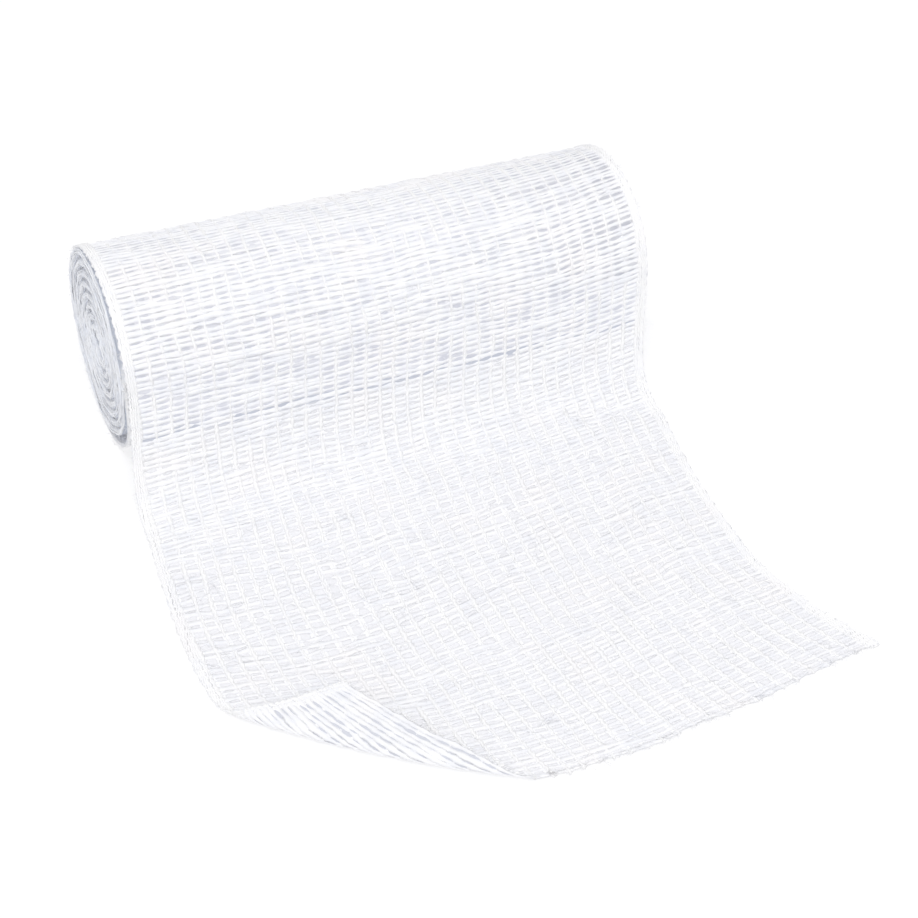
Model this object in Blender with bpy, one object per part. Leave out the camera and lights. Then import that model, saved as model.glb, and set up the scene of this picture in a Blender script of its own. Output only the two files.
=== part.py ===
"""Elastic gauze bandage: one knitted strip, wound into a coreless roll that lies on
its side, with the loose end drawn off the front of the roll and laid out forwards.

The strip is one closed solid. It starts at the flattened eye in the middle of the
roll, winds outwards, comes over the top, leaves the roll at its front, drops to the
surface and lies flat there. Its front left corner is folded up and over, as a small
dog-ear. One turn here stands for about seven turns of the thin gauze.

X runs along the roll, Y away from the loose end and Z up. Units are metres.
"""
import math

import bpy
import bmesh
from mathutils import Vector

# The strip and the roll
STRIP_WIDTH = 0.100
WALL = 0.0012
TURN_GAP = 0.0005
ROLL_RADIUS = 0.0184
EYE_RADIUS = 0.0013
SLIT_HALF_LENGTH = 0.0015
SLIT_EASING = 0.6
END_WANDER = 0.0004
WANDER_RATE = 4.3

# The loose end, measured forwards from the roll's axis to the landing, and from the
# landing to the front corners
LANDING_DISTANCE = 0.034
LEFT_LAID_LENGTH = 0.0610
RIGHT_LAID_LENGTH = 0.0665
CUT_END_BOW = 0.0079

# The folded corner
BEND_RADIUS = 0.0013
FLAP_SLOPE = 0.08

# Angles round the roll's axis, from the top towards the back, in degrees
PEEL_ANGLE = -80.0
STEP_ANGLE = 50.0
SLIT_ANGLE = -122.0

# Facets
SIDES_A_TURN = 32
DROP_ROWS = 11
LAID_ROWS = 9
FOLD_ROWS = 14
FLAP_COLUMNS = 5
BEND_COLUMNS = 7
LAID_COLUMNS = 8

# Handles of the drop's curve, as shares of the roll's radius
PEEL_HANDLE = 0.76
LANDING_HANDLE = 0.60

# How far the two selvages lie to the right of their place on the roll, as shares of
# the strip's width, along the laid length
DRIFT = (
    {"along": 0.00, "left": -0.023, "right": -0.031},
    {"along": 0.20, "left": -0.036, "right": -0.060},
    {"along": 0.40, "left": -0.044, "right": -0.077},
    {"along": 0.60, "left": -0.040, "right": -0.083},
    {"along": 0.70, "left": -0.028, "right": -0.075},
    {"along": 0.85, "left": -0.010, "right": -0.049},
    {"along": 1.00, "left": 0.006, "right": -0.004},
)

# The crease starts on the left selvage at this share of the laid length, and ends on
# the cut end at this share of the width
CREASE_START = 0.61
CREASE_END = 0.36
CREASE_CURVE = 1.62
CREASE_STEPS = 40

# How the cut end bows forwards along the width, as exponents
BOW_SKEW = 0.80
BOW_FULLNESS = 1.3

# The shares of the width with narrow columns: along the left selvage and round the bend
SELVAGE_BAND = 0.11
BEND_BAND = 0.07

# The bleached cloth, and the angle in degrees past which its edges are shaded sharp
CLOTH_COLOUR = (0.90, 0.91, 0.95, 1.0)
CLOTH_ROUGHNESS = 0.9
SHARP_ANGLE = 35.0

CENTRE_RADIUS = ROLL_RADIUS - WALL / 2
PITCH = WALL + TURN_GAP


def smooth(share):
    """A soft step from 0 to 1."""
    held = min(max(share, 0.0), 1.0)
    return held * held * (3.0 - 2.0 * held)


def drift(along, edge):
    """A value of the drift table, along a curve through its rows."""
    last = len(DRIFT) - 2
    row = max(index for index in range(last + 1) if index == 0 or DRIFT[index]["along"] <= along)
    before, start = DRIFT[max(row - 1, 0)], DRIFT[row]
    end, after = DRIFT[row + 1], DRIFT[min(row + 2, last + 1)]
    span = end["along"] - start["along"]
    share = (along - start["along"]) / span
    slope_in = (end[edge] - before[edge]) / (end["along"] - before["along"]) * span
    slope_out = (after[edge] - start[edge]) / (after["along"] - start["along"]) * span
    cubed, squared = share ** 3, share ** 2
    return (start[edge] * (2 * cubed - 3 * squared + 1) + slope_in * (cubed - 2 * squared + share)
            + end[edge] * (3 * squared - 2 * cubed) + slope_out * (cubed - squared))


def wound_radius(turns_in):
    """Distance of the wall's middle from the axis, so many turns in from the peel.

    Each turn is round, and steps outwards by one pitch just behind the peel.
    """
    whole = math.floor(turns_in)
    step_share = STEP_ANGLE / 360.0
    stepped = smooth((turns_in - whole - (1.0 - step_share)) / step_share)
    return CENTRE_RADIUS - PITCH * (whole + stepped)


def wound_point(turns_in):
    """The wall's middle in the Y and Z of the roll's end, with the eye drawn to a slit."""
    radius = wound_radius(turns_in)
    angle = math.radians(PEEL_ANGLE) + math.tau * turns_in
    out_y, out_z = math.sin(angle), math.cos(angle)
    slit = math.radians(SLIT_ANGLE)
    slit_y, slit_z = math.sin(slit), math.cos(slit)
    inward = 1.0 - (radius - EYE_RADIUS) / (CENTRE_RADIUS - EYE_RADIUS)
    facing = out_y * slit_y + out_z * slit_z
    shift = SLIT_HALF_LENGTH * inward * math.sin(math.pi / 2 * min(max(facing / SLIT_EASING, -1.0), 1.0))
    return (radius * out_y + shift * slit_y,
            ROLL_RADIUS + radius * out_z + shift * slit_z)


def drop_point(share):
    """The wall's middle from the peel to the landing, on one cubic curve."""
    peel_y, peel_z = wound_point(0.0)
    angle = math.radians(PEEL_ANGLE)
    lead = PEEL_HANDLE * ROLL_RADIUS
    points = (
        (peel_y, peel_z),
        (peel_y - lead * math.cos(angle), peel_z + lead * math.sin(angle)),
        (-LANDING_DISTANCE + LANDING_HANDLE * ROLL_RADIUS, WALL / 2),
        (-LANDING_DISTANCE, WALL / 2),
    )
    left = 1.0 - share
    weights = (left ** 3, 3 * left ** 2 * share, 3 * left * share ** 2, share ** 3)
    return tuple(sum(weight * point[axis] for weight, point in zip(weights, points)) for axis in (0, 1))


def laid_point(across, along):
    """A point of the laid strip's middle before its corner is folded."""
    x = STRIP_WIDTH * (across + (1.0 - across) * drift(along, "left") + across * drift(along, "right"))
    length = (1.0 - across) * LEFT_LAID_LENGTH + across * RIGHT_LAID_LENGTH
    bow = CUT_END_BOW * along ** 2 * math.sin(math.pi * across ** BOW_SKEW) ** BOW_FULLNESS
    return Vector((x, -LANDING_DISTANCE - length * along - bow, WALL / 2))


def crease_across(along):
    """Where a row meets the crease, as a share of the width."""
    share = max(along - CREASE_START, 0.0) / (1.0 - CREASE_START)
    return CREASE_END * share ** CREASE_CURVE


def crease_points():
    """The crease on the strip before it is folded."""
    shares = [index / CREASE_STEPS for index in range(CREASE_STEPS + 1)]
    lengths = [CREASE_START + (1.0 - CREASE_START) * share for share in shares]
    return [laid_point(crease_across(along), along) for along in lengths]


def nearest_on_crease(point, crease):
    """The foot of the shortest line from a point to the crease."""
    feet = []
    for start, end in zip(crease, crease[1:]):
        run = end - start
        share = min(max((point - start).dot(run) / run.length_squared, 0.0), 1.0)
        feet.append(start + run * share)
    return min(feet, key=lambda foot: (foot - point).length)


def folded_point(across, along, crease):
    """A point of the laid strip, turned up and over the crease if it lies past it."""
    flat = laid_point(across, along)
    if across >= crease_across(along):
        return flat
    foot = nearest_on_crease(flat, crease)
    past = (flat - foot).length
    turned = min(past / BEND_RADIUS, math.pi)
    back = past - turned * BEND_RADIUS
    reach = BEND_RADIUS * math.sin(turned) - back
    lift = BEND_RADIUS * (1.0 - math.cos(turned)) + FLAP_SLOPE * back
    return foot + (flat - foot) * (reach / past) + Vector((0.0, 0.0, lift))


def column_shares(along):
    """Where the columns of a row stand: flap, then bend, then the part that stays down."""
    crease = max(crease_across(along), SELVAGE_BAND)
    flap = [(crease - BEND_BAND) * index / FLAP_COLUMNS for index in range(FLAP_COLUMNS)]
    over = [crease - BEND_BAND + BEND_BAND * index / BEND_COLUMNS for index in range(BEND_COLUMNS)]
    down = [crease + (1.0 - crease) * index / LAID_COLUMNS for index in range(LAID_COLUMNS + 1)]
    return flap + over + down


def strip_rows():
    """The wall's middle as rows of points from the eye to the cut end."""
    rows = []
    turns = (CENTRE_RADIUS - EYE_RADIUS) / PITCH
    stations = math.floor(turns * SIDES_A_TURN)
    for index in range(stations, 0, -1):
        turns_in = index / SIDES_A_TURN
        y, z = wound_point(turns_in)
        side = END_WANDER * math.sin(WANDER_RATE * turns_in) * smooth(turns_in)
        rows.append([Vector((side, y, z)), Vector((STRIP_WIDTH + side, y, z))])
    for index in range(DROP_ROWS):
        share = index / DROP_ROWS
        y, z = drop_point(share)
        left = smooth(share) * drift(0.0, "left")
        right = 1.0 + smooth(share) * drift(0.0, "right")
        rows.append([Vector((STRIP_WIDTH * (left + (right - left) * across), y, z))
                     for across in column_shares(0.0)])
    shares = [CREASE_START * index / LAID_ROWS for index in range(LAID_ROWS)]
    shares += [CREASE_START + (1.0 - CREASE_START) * index / FOLD_ROWS for index in range(FOLD_ROWS + 1)]
    crease = crease_points()
    for along in shares:
        rows.append([folded_point(across, along, crease) for across in column_shares(along)])
    return rows


def wall_normal(rows, row, column):
    """The direction through the wall at one point of its middle."""
    here = rows[row]
    share = column / (len(here) - 1)

    def beside(other):
        if len(other) == len(here):
            return other[column]
        return other[0].lerp(other[-1], share)

    before = beside(rows[max(row - 1, 0)])
    after = beside(rows[min(row + 1, len(rows) - 1)])
    left = here[max(column - 1, 0)]
    right = here[min(column + 1, len(here) - 1)]
    return (right - left).cross(after - before).normalized()


def join_rows(mesh, near, far):
    """Faces between two rows of points, also where a row has only its two ends."""
    if len(near) == len(far):
        for index in range(len(near) - 1):
            mesh.faces.new((near[index], near[index + 1], far[index + 1], far[index]))
        return
    for index in range(len(far) - 1):
        mesh.faces.new((near[0], far[index + 1], far[index]))
    mesh.faces.new((near[0], near[1], far[-1]))


def build_strip():
    rows = strip_rows()
    mesh = bmesh.new()
    sides = []
    for half in (WALL / 2, -WALL / 2):
        sides.append([[mesh.verts.new(point + half * wall_normal(rows, row, column))
                       for column, point in enumerate(points)] for row, points in enumerate(rows)])
    upper, lower = sides
    for side in sides:
        for near, far in zip(side, side[1:]):
            join_rows(mesh, near, far)
    for edge in (0, -1):
        for row in range(len(rows) - 1):
            mesh.faces.new((upper[row][edge], upper[row + 1][edge], lower[row + 1][edge], lower[row][edge]))
    for row in (0, -1):
        for column in range(len(upper[row]) - 1):
            mesh.faces.new((upper[row][column], upper[row][column + 1],
                            lower[row][column + 1], lower[row][column]))
    bmesh.ops.recalc_face_normals(mesh, faces=mesh.faces)
    bmesh.ops.triangulate(mesh, faces=mesh.faces)
    corners = [[function(vertex.co[axis] for vertex in mesh.verts) for axis in range(3)]
               for function in (min, max)]
    middle = Vector(((corners[0][0] + corners[1][0]) / 2, (corners[0][1] + corners[1][1]) / 2, 0.0))
    bmesh.ops.translate(mesh, verts=mesh.verts, vec=-middle)
    return mesh


def gauze():
    material = bpy.data.materials.new("gauze")
    material.use_nodes = True
    shader = material.node_tree.nodes["Principled BSDF"]
    shader.inputs["Base Color"].default_value = CLOTH_COLOUR
    shader.inputs["Roughness"].default_value = CLOTH_ROUGHNESS
    shader.inputs["Metallic"].default_value = 0.0
    return material


def main():
    for old in list(bpy.data.objects):
        bpy.data.objects.remove(old, do_unlink=True)
    mesh = bpy.data.meshes.new("bandage")
    strip = build_strip()
    strip.to_mesh(mesh)
    strip.free()
    mesh.shade_smooth()
    mesh.set_sharp_from_angle(angle=math.radians(SHARP_ANGLE))
    mesh.materials.append(gauze())
    bandage = bpy.data.objects.new("bandage", mesh)
    bpy.context.scene.collection.objects.link(bandage)


main()
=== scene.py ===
"""The looks of the elastic gauze bandage, thread by thread.

The real thing is one strip of thin knitted gauze. Fluffy weft threads lie across it,
and columns of chain stitches run along it and hold them. The strip is wound without a
core, and its loose end is drawn off the front of the roll and laid out forwards, with
one corner turned up and over.

A place on the strip is given as a share across its width and a count of weft rows from
where it leaves the roll: below zero on the roll, above zero on the loose end.
"""
import math

import bpy
import numpy as np
from mathutils import Matrix, Vector


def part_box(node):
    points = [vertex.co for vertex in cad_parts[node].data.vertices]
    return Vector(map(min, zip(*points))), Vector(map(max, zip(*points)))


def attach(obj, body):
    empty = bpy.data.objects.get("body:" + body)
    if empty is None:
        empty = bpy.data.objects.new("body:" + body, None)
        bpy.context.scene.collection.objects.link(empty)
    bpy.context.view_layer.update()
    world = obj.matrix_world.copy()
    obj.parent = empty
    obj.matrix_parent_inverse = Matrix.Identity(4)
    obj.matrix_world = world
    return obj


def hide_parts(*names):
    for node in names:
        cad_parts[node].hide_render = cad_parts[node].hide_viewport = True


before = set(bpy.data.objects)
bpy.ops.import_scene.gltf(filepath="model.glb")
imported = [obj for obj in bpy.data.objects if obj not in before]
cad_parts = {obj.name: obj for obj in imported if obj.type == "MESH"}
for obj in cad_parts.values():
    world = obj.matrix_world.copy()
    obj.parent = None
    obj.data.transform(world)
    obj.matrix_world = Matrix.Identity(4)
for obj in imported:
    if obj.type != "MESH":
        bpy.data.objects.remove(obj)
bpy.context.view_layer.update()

# The wound cloth
# About 4.5 m of thin gauze, wound from a flattened eye outwards. The turns lie in
# bunches, with a wider gap after each bunch, and the outermost turn is a little slack.
STRIP_WIDTH = 0.100
ROLL_RADIUS = 0.0184
OUTER_TURN_RADIUS = 0.0180
EYE_RADIUS = 0.0008
SLIT_HALF_LENGTH = 0.0017
LAYER_PITCH = 0.000183
LAYER_WALL = 0.00010
BUNCH_TURNS = 9
BUNCH_GAP = 0.00048
WOUND_TURNS = (OUTER_TURN_RADIUS - EYE_RADIUS) / (LAYER_PITCH + BUNCH_GAP / BUNCH_TURNS)
OPENING_TURNS = 0.7
BUNCH_WAVE = 0.00035
WAVES_A_RADIUS = 1.7
WAVE_TURN = 0.4
SLACK = 0.0027
SLACK_START = 0.86
SLACK_FULLNESS = 1.5
PUFF_DEPTH = 0.0009
PUFF_FULLNESS = 0.4
BODY_DEPTH = -0.0004
END_JITTER = 0.00015
JITTERS_A_TURN = 5.0
FLUSH_TURNS = 3.0
TUCK_TURNS = 1 / 1.2
SIDES_A_TURN = 48
CLOTH_COLUMNS = 36

# Angles round the roll's axis, from the top towards the back
PEEL_ANGLE = math.radians(-80.0)
SLACK_ANGLE = math.radians(-95.0)
SLIT_ANGLE = math.radians(-131.0)
SLIT_END_SHARE = 0.6

# The loose end: a drop from the roll to the floor, then a laid stretch
LANDING_DISTANCE = 0.034
LEFT_LAID_LENGTH = 0.0610
RIGHT_LAID_LENGTH = 0.0665
CUT_END_BOW = 0.0079
BOW_SKEW = 0.80
BOW_FULLNESS = 1.3
PEEL_HANDLE = 0.76
LANDING_HANDLE = 0.60
LAID_HEIGHT = 0.00042
LAID_WAVE = 0.0005
WAVE_LENGTH = 0.021
WAVE_SHIFT = 40.0
WAVE_START = 0.2
BEND_RADIUS = 0.0013
FLAP_SLOPE = 0.08
CREASE_START = 0.61
CREASE_END = 0.36
CREASE_CURVE = 1.62
CREASE_STEPS = 40
DRIFT = (
    {"along": 0.00, "left": -0.023, "right": -0.031},
    {"along": 0.20, "left": -0.036, "right": -0.060},
    {"along": 0.40, "left": -0.044, "right": -0.077},
    {"along": 0.60, "left": -0.040, "right": -0.083},
    {"along": 0.70, "left": -0.028, "right": -0.075},
    {"along": 0.85, "left": -0.010, "right": -0.049},
    {"along": 1.00, "left": 0.006, "right": -0.004},
)

# One weft row after another. The laid stretch was pulled out, which spreads its rows
ROW_PITCH = 0.00097
ROLL_ROWS = round(math.tau * OUTER_TURN_RADIUS / ROW_PITCH)
DROP_ROWS = 31
SPREAD = (
    {"along": 0.00, "pitch": 1.20},
    {"along": 0.12, "pitch": 1.75},
    {"along": 0.30, "pitch": 1.88},
    {"along": 0.50, "pitch": 1.70},
    {"along": 0.70, "pitch": 1.17},
    {"along": 1.00, "pitch": 0.92},
)
ROW_SKEW = 4.0

# Columns of warp stitches run along the strip, and sway a little
WARP_COLUMNS = 36
COLUMN_SWAY = 0.16
SWAY_ROWS = 9.0
SWAYS_ACROSS = 12.0
FRONT_SWAY = 0.030


def laid_rows():
    """How many rows lie up to each share of the laid length, and how far apart they are there."""
    along = np.linspace(0.0, 1.0, 400)
    pitch = np.interp(along, [row["along"] for row in SPREAD], [row["pitch"] for row in SPREAD])
    length = (LEFT_LAID_LENGTH + RIGHT_LAID_LENGTH) / 2 + CUT_END_BOW / 2
    rows = np.concatenate(([0.0], np.cumsum(np.diff(along) * length / (ROW_PITCH * pitch[1:]))))
    return rows * round(rows[-1]) / rows[-1], along, pitch


LAID_ROW_PLACES, LAID_SHARES, LAID_PITCHES = laid_rows()
LAID_ROWS = round(LAID_ROW_PLACES[-1])
TAIL_ROWS = DROP_ROWS + LAID_ROWS


def soft_step(share):
    held = np.clip(share, 0.0, 1.0)
    return held * held * (3.0 - 2.0 * held)


def ripple(across, along, seed):
    """Smooth noise from -1 to 1 over a plane, with its hills one unit apart."""
    heights = np.random.default_rng(seed).uniform(-1.0, 1.0, (257, 257))
    across, along = np.broadcast_arrays(across, along)
    column, row = np.floor(across).astype(int), np.floor(along).astype(int)
    side, up = soft_step(across - column), soft_step(along - row)

    def corner(right, above):
        return heights[(column + right) % 257, (row + above) % 257]

    low = corner(0, 0) * (1.0 - side) + corner(1, 0) * side
    high = corner(0, 1) * (1.0 - side) + corner(1, 1) * side
    return low * (1.0 - up) + high * up


def column_sway(across, row):
    """How far a column lies beside its straight place, as a share of the width."""
    front = soft_step((row - DROP_ROWS) / LAID_ROWS * 2.0 - 1.0)
    leaning = FRONT_SWAY * np.sin(math.pi * np.clip(across, 0.0, 1.0)) * front
    return leaning + COLUMN_SWAY / WARP_COLUMNS * ripple(row / SWAY_ROWS, across * SWAYS_ACROSS, 31)


def winding(turns_in):
    """The strip's middle in Y and Z, so many turns in from where it leaves the roll."""
    bunch = np.floor(turns_in / BUNCH_TURNS)
    within = turns_in - bunch * BUNCH_TURNS
    opened = BUNCH_GAP * (bunch + soft_step((within - BUNCH_TURNS) / OPENING_TURNS + 1.0))
    angle = PEEL_ANGLE + math.tau * turns_in
    inside = soft_step((turns_in - SLACK_START) / (1.0 - SLACK_START))
    out_y, out_z = np.sin(angle), np.cos(angle)
    slack = SLACK * (0.5 + 0.5 * np.cos(angle - SLACK_ANGLE)) ** SLACK_FULLNESS * inside
    wave = ripple(out_y * WAVES_A_RADIUS + bunch * WAVE_TURN, out_z * WAVES_A_RADIUS, 4)
    slack = slack + BUNCH_WAVE * inside * wave
    radius = OUTER_TURN_RADIUS - LAYER_PITCH * turns_in - opened
    radius = radius * (1.0 - slack / OUTER_TURN_RADIUS)
    slit_y, slit_z = math.sin(SLIT_ANGLE), math.cos(SLIT_ANGLE)
    inward = 1.0 - (radius - EYE_RADIUS) / (OUTER_TURN_RADIUS - EYE_RADIUS)
    facing = np.clip((out_y * slit_y + out_z * slit_z) / SLIT_END_SHARE, -1.0, 1.0)
    shift = SLIT_HALF_LENGTH * inward * np.sin(math.pi / 2 * facing)
    return radius * out_y + shift * slit_y, ROLL_RADIUS + radius * out_z + shift * slit_z


def drop_curve():
    """The drop from the roll to the landing, as even steps along one cubic curve."""
    peel_y, peel_z = winding(np.float64(0.0))
    lead = PEEL_HANDLE * ROLL_RADIUS
    handles = np.array((
        (peel_y, peel_z),
        (peel_y - lead * math.cos(PEEL_ANGLE), peel_z + lead * math.sin(PEEL_ANGLE)),
        (-LANDING_DISTANCE + LANDING_HANDLE * ROLL_RADIUS, LAID_HEIGHT),
        (-LANDING_DISTANCE, LAID_HEIGHT),
    ))
    share = np.linspace(0.0, 1.0, 200)[:, None]
    left = 1.0 - share
    points = (left ** 3 * handles[0] + 3 * left ** 2 * share * handles[1]
              + 3 * left * share ** 2 * handles[2] + share ** 3 * handles[3])
    lengths = np.concatenate(([0.0], np.cumsum(np.linalg.norm(np.diff(points, axis=0), axis=1))))
    return lengths / lengths[-1], points


def drift(along, edge):
    """A value of the drift table, along a curve through its rows."""
    stops = np.array([row["along"] for row in DRIFT])
    values = np.array([row[edge] for row in DRIFT])
    before = np.maximum(np.arange(len(stops)) - 1, 0)
    after = np.minimum(np.arange(len(stops)) + 1, len(stops) - 1)
    slopes = (values[after] - values[before]) / (stops[after] - stops[before])
    row = np.clip(np.searchsorted(stops, along, side="right") - 1, 0, len(stops) - 2)
    span = stops[row + 1] - stops[row]
    share = (along - stops[row]) / span
    cubed, squared = share ** 3, share ** 2
    return (values[row] * (2 * cubed - 3 * squared + 1)
            + slopes[row] * span * (cubed - 2 * squared + share)
            + values[row + 1] * (3 * squared - 2 * cubed)
            + slopes[row + 1] * span * (cubed - squared))


def laid(across, along):
    """The laid strip before its corner is folded."""
    x = STRIP_WIDTH * (across + (1.0 - across) * drift(along, "left") + across * drift(along, "right"))
    length = (1.0 - across) * LEFT_LAID_LENGTH + across * RIGHT_LAID_LENGTH
    bow_share = np.clip(across, 0.0, 1.0) ** BOW_SKEW
    bow = CUT_END_BOW * along ** 2 * np.abs(np.sin(math.pi * bow_share)) ** BOW_FULLNESS
    y = -LANDING_DISTANCE - length * along - bow
    wave = (0.5 + 0.5 * ripple(x / WAVE_LENGTH, y / WAVE_LENGTH + WAVE_SHIFT, 5)) ** 2
    z = LAID_HEIGHT + LAID_WAVE * wave * soft_step(along / WAVE_START)
    return np.stack((x, y, z), axis=-1)


def crease_across(along):
    """How far across the strip its crease lies."""
    share = np.maximum(along - CREASE_START, 0.0) / (1.0 - CREASE_START)
    return CREASE_END * share ** CREASE_CURVE


def folded(across, along):
    """The laid strip, turned up and over the crease where it lies past it."""
    flat = laid(across, along)
    past_crease = (across < crease_across(along)) & (along > CREASE_START)
    stations = np.linspace(CREASE_START, 1.0, CREASE_STEPS + 1)
    crease = laid(crease_across(stations), stations)
    start, run = crease[:-1], np.diff(crease, axis=0)
    points = flat[past_crease]
    shares = ((points[:, None, :] - start) * run).sum(-1) / (run * run).sum(-1)
    feet = start + run * np.clip(shares, 0.0, 1.0)[..., None]
    distances = np.linalg.norm(points[:, None, :] - feet, axis=-1)
    nearest = distances.argmin(axis=1)
    foot = feet[np.arange(len(points)), nearest]
    past = np.maximum(distances.min(axis=1), 1e-9)
    turned = np.minimum(past / BEND_RADIUS, math.pi)
    back = past - turned * BEND_RADIUS
    reach = BEND_RADIUS * np.sin(turned) - back
    lift = BEND_RADIUS * (1.0 - np.cos(turned)) + FLAP_SLOPE * back
    turned_points = foot + (points - foot) * (reach / past)[:, None]
    turned_points[:, 2] += lift
    flat[past_crease] = turned_points
    return flat


def strip(across, row):
    """Points of the strip, so many shares across and so many rows from the roll."""
    across, row = np.broadcast_arrays(np.asarray(across, float), np.asarray(row, float))
    points = np.empty(across.shape + (3,))
    on_roll, on_floor = row < 0.0, row > DROP_ROWS
    dropping = ~on_roll & ~on_floor
    y, z = winding(-row[on_roll] / ROLL_ROWS)
    points[on_roll] = np.stack((STRIP_WIDTH * across[on_roll], y, z), axis=-1)
    share = row[dropping] / DROP_ROWS
    stops, curve = drop_curve()
    left = soft_step(share) * drift(0.0, "left")
    right = 1.0 + soft_step(share) * drift(0.0, "right")
    points[dropping] = np.stack((
        STRIP_WIDTH * (left + (right - left) * across[dropping]),
        np.interp(share, stops, curve[:, 0]),
        np.interp(share, stops, curve[:, 1]),
    ), axis=-1)
    beyond = np.maximum(row[on_floor] - TAIL_ROWS, 0.0) / LAID_ROWS
    along = np.interp(row[on_floor] - DROP_ROWS, LAID_ROW_PLACES, LAID_SHARES) + beyond
    points[on_floor] = folded(across[on_floor], along)
    return points


def outward(across, row):
    """The directions that face out on the roll and up on the laid strip."""
    along = strip(across, row + 0.2) - strip(across, row - 0.2)
    sideways = strip(across + 0.001, row) - strip(across - 0.001, row)
    normals = np.cross(along, sideways)
    return normals / np.maximum(np.linalg.norm(normals, axis=-1, keepdims=True), 1e-12)


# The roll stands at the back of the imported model, and its middle is found from what is high
HIGH_UP = 0.025
node_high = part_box("bandage")[1]
high_up = [vertex.co.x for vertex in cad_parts["bandage"].data.vertices if vertex.co.z > HIGH_UP]
ROLL_PLACE = np.array(((min(high_up) + max(high_up)) / 2 - STRIP_WIDTH / 2, node_high.y - ROLL_RADIUS, 0.0))


def finished(name, points, face_sets, maps):
    """A new piece from arrays of corners, each with a map of the corners on its threads."""
    corners = np.concatenate([faces.ravel() for faces in face_sets])
    sizes = np.concatenate([np.full(len(faces), faces.shape[1]) for faces in face_sets])
    mesh = bpy.data.meshes.new(name)
    mesh.vertices.add(len(points))
    mesh.vertices.foreach_set("co", (points + ROLL_PLACE).ravel())
    mesh.loops.add(len(corners))
    mesh.loops.foreach_set("vertex_index", corners)
    mesh.polygons.add(len(sizes))
    mesh.polygons.foreach_set("loop_start", np.concatenate(([0], np.cumsum(sizes)[:-1])))
    mesh.update(calc_edges=True)
    thread_map = np.concatenate([part.reshape(-1, 2) for part in maps])
    mesh.uv_layers.new(name="thread").data.foreach_set("uv", thread_map.ravel())
    mesh.shade_smooth()
    piece = bpy.data.objects.new(name, mesh)
    bpy.context.scene.collection.objects.link(piece)
    return piece


def end_depth(turns_in, seed):
    """How far the selvage of a turn lies inside the roll's flat end."""
    within = (turns_in / BUNCH_TURNS) % 1.0
    puff = PUFF_DEPTH * (1.0 - np.sin(math.pi * within) ** PUFF_FULLNESS)
    puff = puff * soft_step(turns_in / FLUSH_TURNS - 1.0)
    jitter = END_JITTER * (1.0 + ripple(turns_in * JITTERS_A_TURN, turns_in / FLUSH_TURNS, seed))
    return (puff + jitter + BODY_DEPTH) * soft_step(turns_in / TUCK_TURNS)


def cloth_stations():
    """Rows of points on the cloth's middle from the eye to the cut end, and the way through it."""
    turns_in = np.arange(math.floor(WOUND_TURNS * SIDES_A_TURN), 0, -1) / SIDES_A_TURN
    y, z = winding(turns_in)
    ends = (end_depth(turns_in, 11), STRIP_WIDTH - end_depth(turns_in, 12))
    wound = np.stack([np.stack((x, y, z), axis=-1) for x in ends], axis=1)
    through = np.cross(np.gradient(wound[:, 0], axis=0), (1.0, 0.0, 0.0))
    through /= np.linalg.norm(through, axis=1, keepdims=True)
    stations = [(points, np.stack((way, way))) for points, way in zip(wound, through)]
    shares = np.linspace(0.0, 1.0, CLOTH_COLUMNS + 1)
    for row in np.linspace(0.0, TAIL_ROWS, 2 * TAIL_ROWS + 1):
        held = min(max(row, 0.3), TAIL_ROWS - 0.3)
        stations.append((strip(shares, row), outward(shares, held)))
    return stations


def build_wound_cloth():
    """The whole strip as one closed sheet, and its runs from the roll to its inner and cut ends."""
    stations = cloth_stations()
    points, maps = [], []
    for side in (0.5, -0.5):
        for middle, through in stations:
            points.append(middle + side * LAYER_WALL * through)
    counts = [len(middle) for middle, _ in stations]
    starts = np.concatenate(([0], np.cumsum(counts)))
    steps = [after[0][0] - before[0][0] for before, after in zip(stations, stations[1:])]
    runs = np.concatenate(([0.0], np.cumsum([np.linalg.norm(step) for step in steps])))
    wound = len(stations) - 2 * TAIL_ROWS - 1
    runs -= runs[wound]
    places = []
    for station, (count, run) in enumerate(zip(counts, runs)):
        share = np.linspace(0.0, 1.0, count)
        share = share + column_sway(share, max(station - wound, 0) / 2)
        places.append(np.stack((STRIP_WIDTH * share, np.full(count, run)), -1))
    place = np.concatenate(places)
    place = np.concatenate((place, place))
    lower = starts[-1]
    quads, triangles = [], []

    def face(*corners):
        (quads if len(corners) == 4 else triangles).append(corners)

    for station, (near, far) in enumerate(zip(counts, counts[1:])):
        first, second = starts[station], starts[station + 1]
        for column in range(far - 1):
            if near == far:
                a, b, c, d = first + column, first + column + 1, second + column + 1, second + column
                face(a, d, c, b)
                face(lower + a, lower + b, lower + c, lower + d)
            else:
                face(first, second + column, second + column + 1)
                face(lower + first, lower + second + column + 1, lower + second + column)
        if near != far:
            face(first, second + far - 1, first + near - 1)
            face(lower + first, lower + first + near - 1, lower + second + far - 1)
        for inner, outer, turned in ((first, second, False), (first + near - 1, second + far - 1, True)):
            corners = (inner, lower + inner, lower + outer, outer)
            face(*(corners[::-1] if turned else corners))
    for start, count, turned in ((starts[0], counts[0], False), (starts[-2], counts[-1], True)):
        for column in range(count - 1):
            a, b = start + column, start + column + 1
            corners = (a, b, lower + b, lower + a)
            face(*(corners[::-1] if turned else corners))
    face_sets = [np.array(quads), np.array(triangles)]
    maps = [place[faces.ravel()] for faces in face_sets]
    return finished("wound_cloth", np.concatenate(points), face_sets, maps), runs[0], runs[-1]


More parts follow.
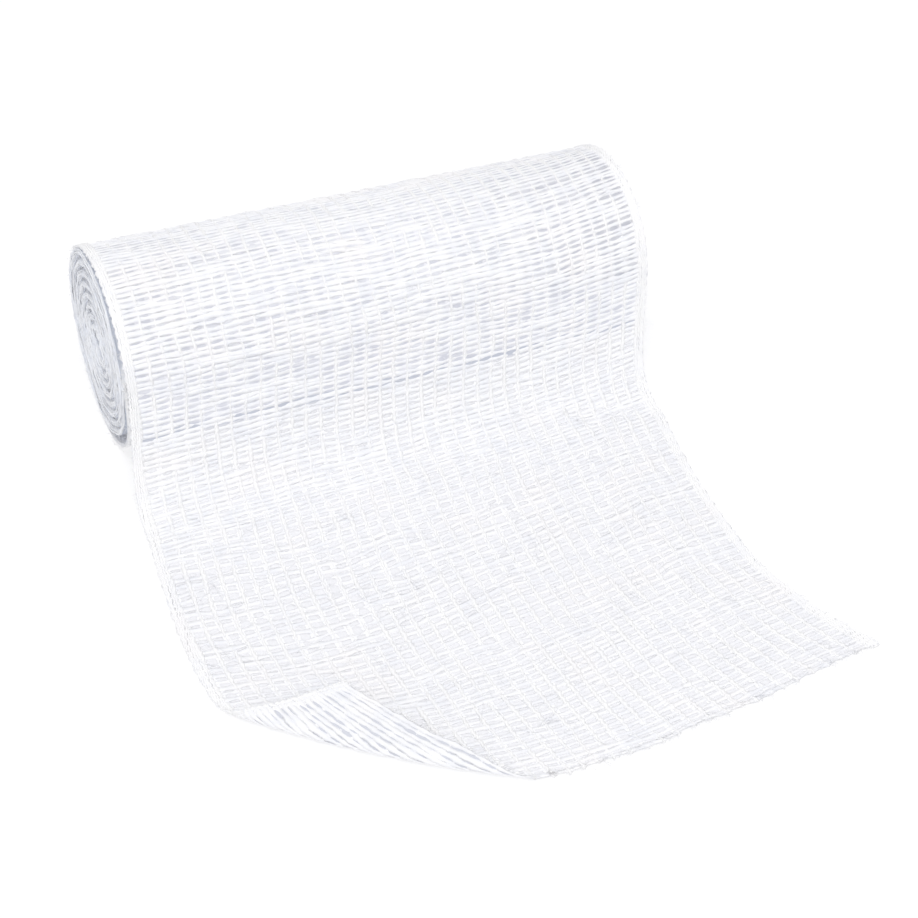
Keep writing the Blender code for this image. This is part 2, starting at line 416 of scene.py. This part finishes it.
class Value:
    """A socket of a material's nodes, so that its maths can be written as sums."""

    def __init__(self, tree, socket):
        self.tree, self.socket = tree, socket

    def maths(self, operation, first, second):
        return node(self.tree, "ShaderNodeMath", {"operation": operation}, {0: first, 1: second})

    def __add__(self, other):
        return self.maths("ADD", self, other)

    def __sub__(self, other):
        return self.maths("SUBTRACT", self, other)

    def __rsub__(self, other):
        return self.maths("SUBTRACT", other, self)

    def __mul__(self, other):
        return self.maths("MULTIPLY", self, other)

    def __truediv__(self, other):
        return self.maths("DIVIDE", self, other)

    def __abs__(self):
        return self.maths("ABSOLUTE", self, 0.0)

    def above(self, low, high):
        """0 below low, 1 above high and soft between."""
        settings = {"interpolation_type": "SMOOTHSTEP"}
        inputs = {"Value": self, "From Min": low, "From Max": high}
        return node(self.tree, "ShaderNodeMapRange", settings, inputs)

    __radd__, __rmul__ = __add__, __mul__


def node(tree, kind, settings, inputs, output=0):
    """A new node with its settings, its sockets' values or links, and one output."""
    made = tree.nodes.new(kind)
    for name, value in settings.items():
        setattr(made, name, value)
    for name, value in inputs.items():
        if isinstance(value, Value):
            tree.links.new(value.socket, made.inputs[name])
        else:
            made.inputs[name].default_value = value
    return Value(tree, made.outputs[output])


def noise(tree, place, grain, detail, distortion=0.0):
    inputs = {"Vector": place, "Scale": grain, "Detail": detail, "Distortion": distortion}
    return node(tree, "ShaderNodeTexNoise", {}, inputs)


def blended(tree, share, first, second):
    """A colour between two others."""
    settings = {"data_type": "RGBA"}
    return node(tree, "ShaderNodeMix", settings, {0: share, 6: first, 7: second}, output=2)


def new_material(name):
    material = bpy.data.materials.new(name)
    material.use_nodes = True
    tree = material.node_tree
    return material, tree, tree.nodes["Principled BSDF"]


CLOTH_WHITE = (0.955, 0.96, 0.975, 1.0)
CLOTH_SHADE = (0.87, 0.89, 0.94, 1.0)
GAP_SHADE = (0.67, 0.68, 0.745, 1.0)
GAP_LIGHT = (0.83, 0.835, 0.875, 1.0)
LINE_SHADE = (0.56, 0.585, 0.66, 1.0)
OPENING_SHADE = (0.95, 0.953, 0.98, 1.0)
FLAP_SHADE = (0.66, 0.675, 0.735, 1.0)
CREVICE_SHADE = (0.64, 0.68, 0.77, 1.0)
EYE_SHADE = (0.18, 0.21, 0.29, 1.0)
OUTER_TURN_RUN = -0.116
SECOND_TURN_RUN = -0.225
EYE_RUN = 0.012
SELVAGE_BAND = 0.0016
GAP_SHADE_DEEPENING = 4.0
OPEN_FROM = 0.0100
OPEN_TO = 0.0114
LINE_RUN = 0.0098
LINE_REACH = 0.0011
TURN_BLEND = 0.003
FLAP_EDGE = 0.0006
LAYER_GRAIN = 1500.0
GAP_GRAIN = 900.0
GRAIN_STRETCH = 0.2
WEB_GRAIN = 620.0
WEB_IN_BAND = 1.6
THINNEST = 0.42


def thin_gauze(inner_run, outer_run):
    """The bare web between the threads: shaded gaps on the roll, openings on the loose end.

    The cloth's map holds the place across the strip and the run along it, from where it
    leaves the roll. Deep shade lies behind the outer turn, in the eye, where the roll's
    lower outline shows through, and between the rows of the turned corner.
    """
    material, tree, shader = new_material("thin_gauze")
    place = node(tree, "ShaderNodeUVMap", {"uv_map": "thread"}, {})
    side = node(tree, "ShaderNodeSeparateXYZ", {}, {0: place}, output=0)
    run = node(tree, "ShaderNodeSeparateXYZ", {}, {0: place}, output=1)
    stretched = node(tree, "ShaderNodeMapping", {}, {"Vector": place, "Scale": (GRAIN_STRETCH, 1.0, 1.0)})
    layers = noise(tree, stretched, LAYER_GRAIN, 2.0)
    gaps = noise(tree, stretched, GAP_GRAIN, 1.0)
    web = noise(tree, place, WEB_GRAIN, 2.0, 0.8)
    phase = side * (math.tau * WARP_COLUMNS / STRIP_WIDTH)
    columns = node(tree, "ShaderNodeMath", {"operation": "COSINE"}, {0: phase})
    band = (columns * -1.0 + (web - 0.5) * WEB_IN_BAND).above(0.1, 0.9)
    outer = run.above(OUTER_TURN_RUN, OUTER_TURN_RUN + TURN_BLEND)
    middle = abs(side - STRIP_WIDTH / 2)
    inside = 1.0 - middle.above(STRIP_WIDTH / 2 - SELVAGE_BAND, STRIP_WIDTH / 2 - SELVAGE_BAND * 0.6)
    open_end = run.above(OPEN_FROM, OPEN_TO)
    coiled = blended(tree, layers.above(0.38, 0.6), CLOTH_SHADE, CLOTH_WHITE)
    line = abs(run - LINE_RUN).above(LINE_REACH * 0.4, LINE_REACH)
    # Painted shade in the gaps between the roll's rows: a mottle between GAP_SHADE and GAP_LIGHT, lighter
    # near the warp columns and darker along the run towards the roll's lower front, where the strip leaves
    # it
    lit = (gaps + band * 0.3 - run * GAP_SHADE_DEEPENING).above(0.36, 0.76)
    shaded = blended(tree, line, LINE_SHADE, blended(tree, lit, GAP_SHADE, GAP_LIGHT))
    second = run.above(SECOND_TURN_RUN, SECOND_TURN_RUN + TURN_BLEND)
    around_eye = blended(tree, run.above(inner_run + EYE_RUN, inner_run + EYE_RUN * 1.3), EYE_SHADE, coiled)
    below = blended(tree, second, around_eye, CREVICE_SHADE)
    beside = blended(tree, inside, coiled, shaded)
    on_roll = blended(tree, outer, below, beside)
    crease_run = outer_run - (1.0 - CREASE_START) * LEFT_LAID_LENGTH
    share = (run - crease_run) / (outer_run - crease_run)
    past = share.maths("MAXIMUM", share, 0.0)
    crease = past.maths("POWER", past, CREASE_CURVE) * (CREASE_END * STRIP_WIDTH)
    flap = (crease - side).above(0.0, FLAP_EDGE)
    opened = blended(tree, (band + web * 0.5).above(0.3, 0.9), OPENING_SHADE, CLOTH_WHITE)
    opened = blended(tree, flap, opened, FLAP_SHADE)
    colour = blended(tree, open_end, on_roll, opened)
    tree.links.new(colour.socket, shader.inputs["Base Color"])
    thin = THINNEST + 0.5 * web + 0.5 * band + flap
    opacity = 1.0 - open_end + open_end * thin
    tree.links.new(opacity.socket, shader.inputs["Alpha"])
    relief = layers + web * 0.5
    bump = node(tree, "ShaderNodeBump", {}, {"Height": relief, "Strength": 0.4, "Distance": 0.0001})
    tree.links.new(bump.socket, shader.inputs["Normal"])
    shader.inputs["Roughness"].default_value = 0.9
    shader.inputs["Specular IOR Level"].default_value = 0.2
    return material


wound_cloth, inner_run, outer_run = build_wound_cloth()
wound_cloth.data.materials.append(thin_gauze(inner_run, outer_run))
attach(wound_cloth, "root")
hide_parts("bandage")

# The weft
# One fluffy, crinkled thread goes to and fro across the strip, one row after another,
# and turns in a small loop at each selvage. It is fattest where the warp gathers it.
WEFT_HALF_WIDTH = 0.00044
WEFT_HALF_HEIGHT = 0.00017
WEFT_SEGMENTS = 144
WEFT_SIDES = 5
STRETCH_FLUFF = 0.46
FLAP_FLUFF = 0.10
STRETCH_FLATNESS = 0.3
LOOP_REACH = 0.0012
LOOP_STEPS = (0.2, 0.5, 0.8)
LOOP_TAPER = 0.007
LOOP_FULLNESS = 0.6
FLAP_BLEND = 0.02
STRAIGHT_ROWS = 16.0

# Each line of these tables is one set of soft hills: how deep they are, how far apart
# in the first and in the second direction, and their seed
ROW_BEND = (
    {"depth": 0.9, "first": 0.027, "second": 18.0, "seed": 20},
)
ROW_WANDER = (
    {"depth": 0.26, "first": 0.008, "second": 2.3, "seed": 21},
    {"depth": 0.19, "first": 0.0034, "second": 1 / 1.7, "seed": 22},
)
ROW_SWELL = (
    {"depth": 0.28, "first": 0.0030, "second": 1 / 1.9, "seed": 23},
    {"depth": 0.22, "first": 0.0015, "second": 1 / 2.7, "seed": 26},
    {"depth": 0.14, "first": 0.012, "second": 1.5, "seed": 24},
)
ROW_LIFT = (
    {"depth": 0.00004, "first": 0.0019, "second": 1 / 1.1, "seed": 25},
)
LEAST_SWELL = 0.84
COLUMN_SWELL = 0.46


def hills(first, second, table):
    """The sets of hills of a table, added up over a plane."""
    return sum(row["depth"] * ripple(first / row["first"], second / row["second"], row["seed"])
               for row in table)


def tubes(name, middle, normals, half_width, half_height, sides, mark=None):
    """Threads as closed tubes round their middle lines, one thread to a line of the arrays."""
    along = np.gradient(middle, axis=1)
    along /= np.maximum(np.linalg.norm(along, axis=-1, keepdims=True), 1e-12)
    beside = np.cross(along, normals)
    beside /= np.maximum(np.linalg.norm(beside, axis=-1, keepdims=True), 1e-12)
    above = np.cross(beside, along)
    threads, stations = middle.shape[:2]
    turn = math.tau * (np.arange(sides) + 0.5) / sides
    wide = np.broadcast_to(half_width, (threads, stations))[..., None, None] * np.cos(turn)[:, None]
    high = np.broadcast_to(half_height, (threads, stations))[..., None, None] * np.sin(turn)[:, None]
    rings = middle[..., None, :] + beside[..., None, :] * wide + above[..., None, :] * high
    numbers = np.arange(threads * stations * sides).reshape(threads, stations, sides)
    following = np.roll(numbers, -1, axis=2)
    quads = np.stack((numbers[:, :-1], numbers[:, 1:], following[:, 1:], following[:, :-1]), -1)
    caps = np.concatenate((numbers[:, 0], numbers[:, -1, ::-1]))
    steps = np.linalg.norm(np.diff(middle, axis=1), axis=-1)
    lengths = np.concatenate((np.zeros((threads, 1)), np.cumsum(steps, axis=1)), axis=1)
    lengths += np.arange(threads)[:, None] * 0.37
    start, end = (np.repeat(part[..., None], sides, axis=2) for part in (lengths[:, :-1], lengths[:, 1:]))
    low = np.broadcast_to(np.arange(sides) / sides, start.shape)
    high = low + 1.0 / sides
    if mark is not None:
        low = high = np.repeat(mark[:, :-1, None], sides, axis=2)
    around_face = ((start, low), (end, low), (end, high), (start, high))
    corners = np.stack([np.stack(pair, -1) for pair in around_face], -2)
    cap_map = np.zeros((caps.size, 2))
    return finished(name, rings.reshape(-1, 3), [quads.reshape(-1, 4), caps], [corners, cap_map])


def yarns(name, across, row, lift, half_width, half_height, sides):
    """Threads that follow the strip, so far above its middle."""
    across, row, lift = np.broadcast_arrays(across, row, lift)
    normals = outward(across, np.minimum(row, TAIL_ROWS - 0.3))
    middle = strip(across, row) + normals * lift[..., None]
    return tubes(name, middle, normals, half_width, half_height, sides)


def weft_path(first_row, last_row):
    """To and fro over the rows, with three points round each selvage loop."""
    shares = np.linspace(0.0, 1.0, WEFT_SEGMENTS + 1)
    across, row = [], []
    for index, number in enumerate(np.arange(first_row, last_row + 0.01)):
        forwards = index % 2 == 0
        across.append(shares if forwards else shares[::-1])
        row.append(np.full(len(shares), number))
        turned = np.array(LOOP_STEPS)
        reach = LOOP_REACH * np.sin(math.pi * turned)
        across.append(1.0 + reach if forwards else -reach)
        row.append(number + turned)
    return np.concatenate(across)[None, :], np.concatenate(row)[None, :]


def bent(across, row):
    """Rows as they lie in the cloth: skewed towards the right selvage, wavy and crinkled."""
    x = across * STRIP_WIDTH
    free = 1.0 - soft_step((row - TAIL_ROWS + STRAIGHT_ROWS) / STRAIGHT_ROWS)
    skewed = row - ROW_SKEW * across ** 2 * free + hills(x, row, ROW_BEND) * free
    return skewed + hills(x, row, ROW_WANDER)


def columns_at(across, row):
    """1 on a warp column and 0 halfway between two."""
    return 0.5 - 0.5 * np.cos(math.tau * WARP_COLUMNS * (across + column_sway(across, row)))


def weft(name, first_row, last_row):
    across, row = weft_path(first_row, last_row)
    x = across * STRIP_WIDTH
    swell = LEAST_SWELL + hills(x, row, ROW_SWELL) + COLUMN_SWELL * columns_at(across, row) ** 2
    to_edge = np.minimum(across, 1.0 - across)
    taper = LOOP_FULLNESS + (1.0 - LOOP_FULLNESS) * soft_step(to_edge / LOOP_TAPER)
    along = np.interp(row - DROP_ROWS, LAID_ROW_PLACES, LAID_SHARES)
    swell = swell + FLAP_FLUFF * soft_step((crease_across(along) - across) / FLAP_BLEND)
    spread = np.interp(row - DROP_ROWS, LAID_ROW_PLACES, LAID_PITCHES)
    fluffed = 1.0 + STRETCH_FLUFF * (spread - 1.0)
    flattened = 1.0 - STRETCH_FLATNESS * (spread - 1.0)
    half_width = WEFT_HALF_WIDTH * swell * taper * fluffed
    half_height = WEFT_HALF_HEIGHT * swell * taper * flattened
    lift = hills(x, row, ROW_LIFT)
    return yarns(name, across, bent(across, row), lift, half_width, half_height, WEFT_SIDES)


YARN_WHITE = (0.95, 0.953, 0.97, 1.0)
YARN_SHADE = (0.89, 0.90, 0.938, 1.0)
YARN_WARM = (0.962, 0.955, 0.964, 1.0)
TINT_GRAIN = 330.0
WARMTH_GRAIN = 90.0
FLUFF_GRAIN = 4200.0
WEFT_TWIST = 0.0011
SMOOTHEST = 0.78


def fluffy_yarn(name, twist_pitch, white, shade, groove_shade=None):
    """Soft spun thread: fibres twisted round it, and a tint that drifts along it."""
    material, tree, shader = new_material(name)
    place = node(tree, "ShaderNodeUVMap", {"uv_map": "thread"}, {})
    along = node(tree, "ShaderNodeSeparateXYZ", {}, {0: place}, output=0)
    around = node(tree, "ShaderNodeSeparateXYZ", {}, {0: place}, output=1)
    where = node(tree, "ShaderNodeTexCoord", {}, {}, output=3)
    drifting = noise(tree, where, TINT_GRAIN, 2.0)
    warmth = noise(tree, where, WARMTH_GRAIN, 1.0)
    fluff = noise(tree, where, FLUFF_GRAIN, 3.0)
    strand = along / twist_pitch + around * 2.0
    twisted = node(tree, "ShaderNodeMath", {"operation": "SINE"}, {0: strand * math.tau})
    cool = blended(tree, drifting.above(0.3, 0.6), shade, white)
    tint = blended(tree, warmth.above(0.52, 0.7), cool, YARN_WARM)
    # Painted shade: a groove colour darkens the thread towards the edges of its mark, beside the grooves
    # between bunches
    if groove_shade:
        depth = abs(around - 0.5) + (drifting - 0.5) * 0.25
        tint = blended(tree, depth.above(0.30, 0.5), cool, groove_shade)
    tree.links.new(tint.socket, shader.inputs["Base Color"])
    relief = twisted * 0.3 + fluff
    bump = node(tree, "ShaderNodeBump", {}, {"Height": relief, "Strength": 0.3, "Distance": 0.00008})
    tree.links.new(bump.socket, shader.inputs["Normal"])
    rough = SMOOTHEST + 0.2 * fluff
    tree.links.new(rough.socket, shader.inputs["Roughness"])
    shader.inputs["Specular IOR Level"].default_value = 0.2
    shader.inputs["Sheen Weight"].default_value = 0.3
    shader.inputs["Sheen Roughness"].default_value = 0.6
    return material


weft_yarn = fluffy_yarn("weft_yarn", WEFT_TWIST, YARN_WHITE, YARN_SHADE)
roll_weft = weft("roll_weft", -ROLL_ROWS, -1.0)
tail_weft = weft("tail_weft", 0.0, TAIL_ROWS)
thread_pieces = [roll_weft, tail_weft]
for piece in thread_pieces:
    piece.data.materials.append(weft_yarn)

# The warp
# Columns of chain stitches run along the strip and tie the rows together. Each column
# is two threads that cross over every row. They wander and thin out in places.
WARP_WHITE = (0.985, 0.985, 0.987, 1.0)
WARP_TWIST = 0.0007
STITCH_REACH = 0.0019
STITCH_HEIGHT = 0.00007
STITCH_HALF_WIDTH = 0.00036
STITCH_FLATNESS = 0.34
STITCH_LIFT = 0.00004
CROSSING_LIFT = 0.00002
WEAK_STITCH = 0.6
WEAK_SINK = 1.6
TIGHT_ROWS = 9.0
LOOSE_ROWS = 14.0
TIGHT_FULLNESS = 0.65
COLUMN_WANDER = (
    {"depth": 0.0016, "first": 1.4, "second": 1 / 5.3, "seed": 32},
)
COLUMN_STRENGTH = (
    {"depth": 0.6, "first": 3.0, "second": 2.4, "seed": 33},
    {"depth": 0.4, "first": 1.1, "second": 1 / 4.1, "seed": 34},
)
USUAL_STRENGTH = 0.75
LEAST_STRENGTH = 0.1
GREATEST_STRENGTH = 1.35


def warp(name, first_row, last_row, fullness, sides):
    """All the columns between two rows, with two points to a row."""
    row = np.arange(first_row, last_row + 0.25, 0.5)[None, :]
    column = np.repeat(np.arange(WARP_COLUMNS), 2)[:, None]
    side = np.tile((1.0, -1.0), WARP_COLUMNS)[:, None]
    beat = np.where(np.arange(row.shape[1]) % 2 == 0, 1.0, -1.0)[None, :]
    middle = (column + 0.5) / WARP_COLUMNS
    wander = hills(row, column, COLUMN_WANDER) - column_sway(middle, row)
    strength = USUAL_STRENGTH + hills(row, column, COLUMN_STRENGTH)
    strength = np.clip(strength, LEAST_STRENGTH, GREATEST_STRENGTH)
    strength = strength * np.interp(row, (TIGHT_ROWS, LOOSE_ROWS), (TIGHT_FULLNESS, fullness))
    across = middle + wander + side * beat * STITCH_REACH * np.minimum(strength, 1.0)
    sunk = WEAK_SINK * np.maximum(WEAK_STITCH - strength, 0.0)
    lift = STITCH_HEIGHT * (1.0 + beat - sunk) + CROSSING_LIFT * side + STITCH_LIFT
    size = STITCH_HALF_WIDTH * (0.3 + 0.75 * strength)
    return yarns(name, across, bent(across, row), lift, size, size * STITCH_FLATNESS, sides)


warp_yarn = fluffy_yarn("warp_yarn", WARP_TWIST, WARP_WHITE, YARN_WHITE)
roll_warp = warp("roll_warp", -ROLL_ROWS, 0.0, TIGHT_FULLNESS, 4)
tail_warp = warp("tail_warp", 0.0, TAIL_ROWS + 0.6, 1.0, 4)
for piece in (roll_warp, tail_warp):
    piece.data.materials.append(warp_yarn)
    thread_pieces.append(piece)

# The selvages
# Close cords run along each edge of the strip and hold the weft's loops.
SELVAGE_CORDS = (0.0008, 0.0046, 0.0088, 0.0130)
SELVAGE_HALF_WIDTH = 0.00027
CORD_BEAT = 0.0009
CORD_WANDER = 0.0008
CORD_LIFT = 0.00008
CORD_HEIGHT = 0.00010


def selvages():
    row = np.arange(-ROLL_ROWS, TAIL_ROWS + 0.8, 0.5)[None, :]
    shares = np.array(SELVAGE_CORDS + tuple(1.0 - share for share in SELVAGE_CORDS))[:, None]
    beat = np.where(np.arange(row.shape[1]) % 2 == 0, 1.0, -1.0)[None, :]
    across = shares + CORD_BEAT * beat + CORD_WANDER * ripple(row / 3.0, shares * 900.0, 41)
    size = SELVAGE_HALF_WIDTH * (1.0 + 0.25 * ripple(row / 1.3, shares * 700.0, 42))
    return yarns("selvages", across, row, CORD_LIFT + CORD_HEIGHT * beat, size, size, 5)


selvage_cords = selvages()
selvage_cords.data.materials.append(warp_yarn)
thread_pieces.append(selvage_cords)

# The wound edges
# At both ends of the roll the selvages of the inner turns show, turn by turn, as soft rings with deeper
# grooves between the bunches. Their colours are painted bluer than the yarn's as the shade on the roll's
# ends, and painted shade darkens them beside each groove.
EDGE_SIDES_A_TURN = 84
EDGE_HALF_WIDTH = 0.00011
EDGE_WANDER = 0.00016
EDGE_WAVE = 0.00005
EDGE_TWIST = 0.0009
# Painted shade: these colours are bluer than the yarn's for the shaded ends of the roll, and the groove
# colour darkens the cords beside the grooves between bunches
EDGE_WHITE = (0.955, 0.968, 0.995, 1.0)
EDGE_SHADE = (0.90, 0.925, 0.98, 1.0)
EDGE_GROOVE_SHADE = (0.79, 0.83, 0.93, 1.0)


def wound_edges():
    last_side = math.floor(WOUND_TURNS * EDGE_SIDES_A_TURN)
    turns_in = np.arange(last_side, EDGE_SIDES_A_TURN, -1) / EDGE_SIDES_A_TURN
    angle = PEEL_ANGLE + math.tau * turns_in
    radial = np.stack((np.zeros_like(angle), np.sin(angle), np.cos(angle)), -1)
    y, z = winding(turns_in)
    middles = []
    for seed, end, inwards in ((11, 0.0, 1.0), (12, STRIP_WIDTH, -1.0)):
        wander = EDGE_WANDER * (ripple(turns_in * 41.0, turns_in * 0.5, seed + 50) - 0.5)
        middles.append(np.stack((end + inwards * (end_depth(turns_in, seed) + wander), y, z), -1))
    middle = np.stack(middles)
    middle = middle + radial * (EDGE_WAVE * ripple(turns_in * 57.0, turns_in * 0.5, 63))[:, None]
    normals = np.broadcast_to(radial, middle.shape)
    size = EDGE_HALF_WIDTH * (1.0 + 0.3 * ripple(turns_in * 33.0, turns_in * 0.5, 64))
    within = (turns_in / BUNCH_TURNS) % 1.0
    return tubes("wound_edges", middle, normals, size, size, 4, np.stack((within, within)))


edge_cords = wound_edges()
edge_yarn = fluffy_yarn("edge_yarn", EDGE_TWIST, EDGE_WHITE, EDGE_SHADE, EDGE_GROOVE_SHADE)
edge_cords.data.materials.append(edge_yarn)
thread_pieces.append(edge_cords)

# The loose fibres
# Fine fibres stand off the yarn all over, most of all along the selvages, the cut end
# and the ends of the roll.
FIBRE_HALF_WIDTH = 0.000022
FIBRE_STEPS = 5
FIBRE_CURL = 2.2
FIBRE_TWIST = 0.0004
CLOTH_FIBRES = 1500
SELVAGE_FIBRES = 500
CUT_END_FIBRES = 420
ROLL_END_FIBRES = 1300
USUAL_PITCH = 1.4


def fibre_headings(seed, count, heading, turn, shortest, longest):
    """Curling walks of fibres: how far each has gone in two directions, step by step."""
    draw = np.random.default_rng(seed)
    first = heading + draw.uniform(-turn, turn, (count, 1))
    curl = draw.uniform(-FIBRE_CURL, FIBRE_CURL, (count, 1))
    length = draw.uniform(shortest, longest, (count, 1))
    share = np.linspace(0.0, 1.0, FIBRE_STEPS + 1)[None, :]
    angle = first + curl * share
    step = length / FIBRE_STEPS
    start = np.zeros((count, 1))
    forward = np.concatenate((start, np.cumsum(np.cos(angle[:, 1:]) * step, axis=1)), axis=1)
    sideways = np.concatenate((start, np.cumsum(np.sin(angle[:, 1:]) * step, axis=1)), axis=1)
    hump = np.sin(math.pi * share) * draw.uniform(0.0, 1.0, (count, 1))
    return draw, forward, sideways, hump


def loose_fibres():
    across, row, lift = [], [], []

    def add(first_across, first_row, outwards, onwards, height):
        across.append(first_across + outwards / STRIP_WIDTH)
        row.append(first_row + onwards / (USUAL_PITCH * ROW_PITCH))
        lift.append(height)

    draw, along, beside, hump = fibre_headings(51, CLOTH_FIBRES, 0.0, math.pi, 0.0015, 0.0045)
    add(draw.uniform(0.0, 1.0, (CLOTH_FIBRES, 1)), draw.uniform(-ROLL_ROWS, TAIL_ROWS, (CLOTH_FIBRES, 1)),
        along, beside, 0.0002 + 0.0002 * hump)
    for seed, edge, outwards in ((52, 0.0, -1.0), (53, 1.0, 1.0)):
        draw, along, beside, hump = fibre_headings(seed, SELVAGE_FIBRES, 0.0, 1.5, 0.0004, 0.0013)
        add(edge, draw.uniform(-ROLL_ROWS, TAIL_ROWS, (SELVAGE_FIBRES, 1)),
            along * outwards, beside, 0.0001 + 0.0003 * hump)
    draw, along, beside, hump = fibre_headings(54, CUT_END_FIBRES, 0.0, 1.2, 0.0006, 0.0020)
    add(draw.uniform(0.0, 1.0, (CUT_END_FIBRES, 1)), TAIL_ROWS, beside, along, 0.0001 + 0.0004 * hump)
    across, row, lift = (np.concatenate(part) for part in (across, row, lift))
    return yarns("loose_fibres", across, row, lift, FIBRE_HALF_WIDTH, FIBRE_HALF_WIDTH, 3)


def end_fluff():
    middles, normals = [], []
    for seed, end, inwards in ((55, 0.0, 1.0), (56, STRIP_WIDTH, -1.0)):
        draw, along, beside, hump = fibre_headings(seed, ROLL_END_FIBRES, 0.0, math.pi, 0.0006, 0.0020)
        turns_in = WOUND_TURNS * (1.0 - np.sqrt(draw.uniform(0.03, 0.99, (ROLL_END_FIBRES, 1))))
        angle = PEEL_ANGLE + math.tau * turns_in
        y, z = winding(turns_in)
        depth = end_depth(turns_in, seed - 44) - 0.0001 - 0.0003 * hump
        middle = np.stack((end + inwards * depth, y + along, z + beside), -1)
        middles.append(middle)
        normals.append(np.broadcast_to((-inwards, 0.0, 0.0), middle.shape))
    return tubes("end_fluff", np.concatenate(middles), np.concatenate(normals),
                 FIBRE_HALF_WIDTH, FIBRE_HALF_WIDTH, 3)


fibre = fluffy_yarn("fibre", FIBRE_TWIST, YARN_WHITE, YARN_SHADE)
for piece in (loose_fibres(), end_fluff()):
    piece.data.materials.append(fibre)
    thread_pieces.append(piece)

for piece in thread_pieces:
    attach(piece, "root")
    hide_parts("bandage")

# The floor: a plain white ground that glows a little, so that almost no shadow shows on it
FLOOR_SIZE = 6.0
FLOOR_GREY = (0.50, 0.50, 0.505, 1.0)
FLOOR_GLOW = 0.53
bpy.ops.object.select_all(action="DESELECT")
bpy.ops.mesh.primitive_plane_add(size=FLOOR_SIZE, location=(0.0, 0.0, 0.0))
floor = bpy.context.object
floor.name = "floor"
floor_material, floor_tree, floor_shader = new_material("pale_floor")
floor_shader.inputs["Base Color"].default_value = FLOOR_GREY
floor_shader.inputs["Roughness"].default_value = 0.9
floor_shader.inputs["Emission Color"].default_value = (1.0, 1.0, 1.0, 1.0)
floor_shader.inputs["Emission Strength"].default_value = FLOOR_GLOW
floor.data.materials.append(floor_material)

# The light: a bright white room, and one wide soft lamp from above and in front
ROOM_COLOUR = (0.98, 0.98, 1.0, 1.0)
ROOM_STRENGTH = 0.705
LAMP_PLACE = (-0.2, -0.45, 1.1)
LAMP_SIZE = 0.6
LAMP_POWER = 5.9
LAMP_COLOUR = (1.0, 0.995, 0.985)
bpy.context.scene.view_settings.view_transform = "Standard"
room = bpy.data.worlds.new("white_room")
room.use_nodes = True
room.node_tree.nodes["Background"].inputs["Color"].default_value = ROOM_COLOUR
room.node_tree.nodes["Background"].inputs["Strength"].default_value = ROOM_STRENGTH
bpy.context.scene.world = room
lamp = bpy.data.lights.new("window", "AREA")
lamp.shape = "SQUARE"
lamp.size = LAMP_SIZE
lamp.energy = LAMP_POWER
lamp.color = LAMP_COLOUR
stand = bpy.data.objects.new("window", lamp)
stand.location = LAMP_PLACE
stand.rotation_euler = (-Vector(LAMP_PLACE)).to_track_quat("-Z", "Y").to_euler()
bpy.context.scene.collection.objects.link(stand)

# The camera stands where the photograph was taken from, over the roll's left end
CAMERA_AZIMUTH = math.radians(26.34)
CAMERA_ELEVATION = math.radians(39.47)
CAMERA_TILT = math.radians(3.0)
CAMERA_LENS = 70.588
CAMERA_PLACE = np.array((-0.055946, -0.257838, 0.207811))
camera = bpy.data.objects.new("camera", bpy.data.cameras.new("camera"))
camera.data.sensor_width = 36.0
camera.data.lens = CAMERA_LENS
camera.matrix_world = (Matrix.Translation(CAMERA_PLACE + ROLL_PLACE)
                       @ Matrix.Rotation(-CAMERA_AZIMUTH, 4, "Z")
                       @ Matrix.Rotation(math.pi / 2 - CAMERA_ELEVATION, 4, "X")
                       @ Matrix.Rotation(CAMERA_TILT, 4, "Z"))
bpy.context.scene.collection.objects.link(camera)
bpy.context.scene.camera = camera
